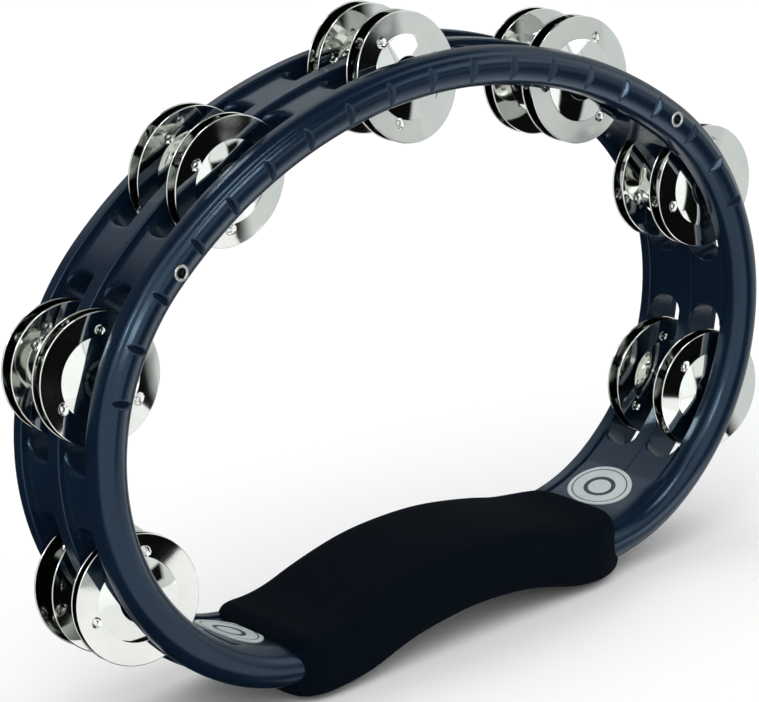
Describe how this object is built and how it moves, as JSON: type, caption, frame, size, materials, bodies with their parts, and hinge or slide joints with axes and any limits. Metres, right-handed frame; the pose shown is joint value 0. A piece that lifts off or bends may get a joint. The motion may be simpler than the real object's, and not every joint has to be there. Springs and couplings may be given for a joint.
{
  "type": "tambourine",
  "caption": "Headless hand tambourine: flattened moulded ring with a foam grip sleeve along one side and pairs of loose jingles on cross pins in slots round the rest.",
  "frame": {"origin": "centre of the footprint at the height of the grip's underside", "axes": "+Y along the ring's axis from the notched front rim to the rear rim, +Z from the grip to the top of the ring, +X to the right seen from the front"},
  "size_m": [0.3061, 0.0572, 0.2182],
  "materials": {
    "abs_plastic": "satin moulded plastic",
    "foam": "closed-cell foam sleeve",
    "nickel_jingle": "bright nickel plate",
    "steel_pin": "drawn wire",
    "steel_eyelet": "bright",
    "badge": "printed label, blank"
  },
  "bodies": {
    "ring_body": {"frame": "abs_plastic", "foam_grip": "foam", "pin_1": "steel_pin", "pin_2": "steel_pin", "pin_3": "steel_pin", "pin_4": "steel_pin", "pin_5": "steel_pin", "pin_6": "steel_pin", "pin_7": "steel_pin", "eyelet_left": "steel_eyelet", "eyelet_right": "steel_eyelet", "badge_left": "badge", "badge_right": "badge"},
    "jingle_front_1_a": {"jingle_front_1_a": "nickel_jingle"},
    "jingle_front_1_b": {"jingle_front_1_b": "nickel_jingle"},
    "jingle_rear_1_a": {"jingle_rear_1_a": "nickel_jingle"},
    "jingle_rear_1_b": {"jingle_rear_1_b": "nickel_jingle"},
    "jingle_front_2_a": {"jingle_front_2_a": "nickel_jingle"},
    "jingle_front_2_b": {"jingle_front_2_b": "nickel_jingle"},
    "jingle_rear_2_a": {"jingle_rear_2_a": "nickel_jingle"},
    "jingle_rear_2_b": {"jingle_rear_2_b": "nickel_jingle"},
    "jingle_front_3_a": {"jingle_front_3_a": "nickel_jingle"},
    "jingle_front_3_b": {"jingle_front_3_b": "nickel_jingle"},
    "jingle_rear_3_a": {"jingle_rear_3_a": "nickel_jingle"},
    "jingle_rear_3_b": {"jingle_rear_3_b": "nickel_jingle"},
    "jingle_front_4_a": {"jingle_front_4_a": "nickel_jingle"},
    "jingle_front_4_b": {"jingle_front_4_b": "nickel_jingle"},
    "jingle_rear_4_a": {"jingle_rear_4_a": "nickel_jingle"},
    "jingle_rear_4_b": {"jingle_rear_4_b": "nickel_jingle"},
    "jingle_front_5_a": {"jingle_front_5_a": "nickel_jingle"},
    "jingle_front_5_b": {"jingle_front_5_b": "nickel_jingle"},
    "jingle_rear_5_a": {"jingle_rear_5_a": "nickel_jingle"},
    "jingle_rear_5_b": {"jingle_rear_5_b": "nickel_jingle"},
    "jingle_front_6_a": {"jingle_front_6_a": "nickel_jingle"},
    "jingle_front_6_b": {"jingle_front_6_b": "nickel_jingle"},
    "jingle_rear_6_a": {"jingle_rear_6_a": "nickel_jingle"},
    "jingle_rear_6_b": {"jingle_rear_6_b": "nickel_jingle"},
    "jingle_front_7_a": {"jingle_front_7_a": "nickel_jingle"},
    "jingle_front_7_b": {"jingle_front_7_b": "nickel_jingle"},
    "jingle_rear_7_a": {"jingle_rear_7_a": "nickel_jingle"},
    "jingle_rear_7_b": {"jingle_rear_7_b": "nickel_jingle"}
  },
  "joints": [
    {"name": "jingle_front_1_a_slide", "type": "slide", "parent": "ring_body", "child": "jingle_front_1_a", "axis": [0, 1, 0], "range_m": [-0.00219, 0.00166]},
    {"name": "jingle_front_1_b_slide", "type": "slide", "parent": "ring_body", "child": "jingle_front_1_b", "axis": [0, 1, 0], "range_m": [-0.00166, 0.00129]},
    {"name": "jingle_rear_1_a_slide", "type": "slide", "parent": "ring_body", "child": "jingle_rear_1_a", "axis": [0, 1, 0], "range_m": [-0.00029, 0.00199]},
    {"name": "jingle_rear_1_b_slide", "type": "slide", "parent": "ring_body", "child": "jingle_rear_1_b", "axis": [0, 1, 0], "range_m": [-0.00199, 0.00109]},
    {"name": "jingle_front_2_a_slide", "type": "slide", "parent": "ring_body", "child": "jingle_front_2_a", "axis": [0, 1, 0], "range_m": [-0.00483, 0.00307]},
    {"name": "jingle_front_2_b_slide", "type": "slide", "parent": "ring_body", "child": "jingle_front_2_b", "axis": [0, 1, 0], "range_m": [-0.00307, 0.00008]},
    {"name": "jingle_rear_2_a_slide", "type": "slide", "parent": "ring_body", "child": "jingle_rear_2_a", "axis": [0, 1, 0], "range_m": [-0.00023, 0.00417]},
    {"name": "jingle_rear_2_b_slide", "type": "slide", "parent": "ring_body", "child": "jingle_rear_2_b", "axis": [0, 1, 0], "range_m": [-0.00417, 0.00388]},
    {"name": "jingle_front_3_a_slide", "type": "slide", "parent": "ring_body", "child": "jingle_front_3_a", "axis": [0, 1, 0], "range_m": [-0.00287, 0.00337]},
    {"name": "jingle_front_3_b_slide", "type": "slide", "parent": "ring_body", "child": "jingle_front_3_b", "axis": [0, 1, 0], "range_m": [-0.00337, 0.00204]},
    {"name": "jingle_rear_3_a_slide", "type": "slide", "parent": "ring_body", "child": "jingle_rear_3_a", "axis": [0, 1, 0], "range_m": [-0.00267, 0.00367]},
    {"name": "jingle_rear_3_b_slide", "type": "slide", "parent": "ring_body", "child": "jingle_rear_3_b", "axis": [0, 1, 0], "range_m": [-0.00367, 0.00224]},
    {"name": "jingle_front_4_a_slide", "type": "slide", "parent": "ring_body", "child": "jingle_front_4_a", "axis": [0, 1, 0], "range_m": [-0.00137, 0.00426]},
    {"name": "jingle_front_4_b_slide", "type": "slide", "parent": "ring_body", "child": "jingle_front_4_b", "axis": [0, 1, 0], "range_m": [-0.00426, 0.00016]},
    {"name": "jingle_rear_4_a_slide", "type": "slide", "parent": "ring_body", "child": "jingle_rear_4_a", "axis": [0, 1, 0], "range_m": [-0.00258, 0.00427]},
    {"name": "jingle_rear_4_b_slide", "type": "slide", "parent": "ring_body", "child": "jingle_rear_4_b", "axis": [0, 1, 0], "range_m": [-0.00427, 0.00152]},
    {"name": "jingle_front_5_a_slide", "type": "slide", "parent": "ring_body", "child": "jingle_front_5_a", "axis": [0, 1, 0], "range_m": [-0.00198, 0.00377]},
    {"name": "jingle_front_5_b_slide", "type": "slide", "parent": "ring_body", "child": "jingle_front_5_b", "axis": [0, 1, 0], "range_m": [-0.00377, 0.00229]},
    {"name": "jingle_rear_5_a_slide", "type": "slide", "parent": "ring_body", "child": "jingle_rear_5_a", "axis": [0, 1, 0], "range_m": [-0.00291, 0.00317]},
    {"name": "jingle_rear_5_b_slide", "type": "slide", "parent": "ring_body", "child": "jingle_rear_5_b", "axis": [0, 1, 0], "range_m": [-0.00317, 0.00395]},
    {"name": "jingle_front_6_a_slide", "type": "slide", "parent": "ring_body", "child": "jingle_front_6_a", "axis": [0, 1, 0], "range_m": [-0.00217, 0.00357]},
    {"name": "jingle_front_6_b_slide", "type": "slide", "parent": "ring_body", "child": "jingle_front_6_b", "axis": [0, 1, 0], "range_m": [-0.00357, 0.00352]},
    {"name": "jingle_rear_6_a_slide", "type": "slide", "parent": "ring_body", "child": "jingle_rear_6_a", "axis": [0, 1, 0], "range_m": [-0.00017, 0.00367]},
    {"name": "jingle_rear_6_b_slide", "type": "slide", "parent": "ring_body", "child": "jingle_rear_6_b", "axis": [0, 1, 0], "range_m": [-0.00367, 0.00572]},
    {"name": "jingle_front_7_a_slide", "type": "slide", "parent": "ring_body", "child": "jingle_front_7_a", "axis": [0, 1, 0], "range_m": [-0.00018, 0.00327]},
    {"name": "jingle_front_7_b_slide", "type": "slide", "parent": "ring_body", "child": "jingle_front_7_b", "axis": [0, 1, 0], "range_m": [-0.00327, 0.0044]},
    {"name": "jingle_rear_7_a_slide", "type": "slide", "parent": "ring_body", "child": "jingle_rear_7_a", "axis": [0, 1, 0], "range_m": [-0.00288, 0.00367]},
    {"name": "jingle_rear_7_b_slide", "type": "slide", "parent": "ring_body", "child": "jingle_rear_7_b", "axis": [0, 1, 0], "range_m": [-0.00367, 0.0016]}
  ]
}
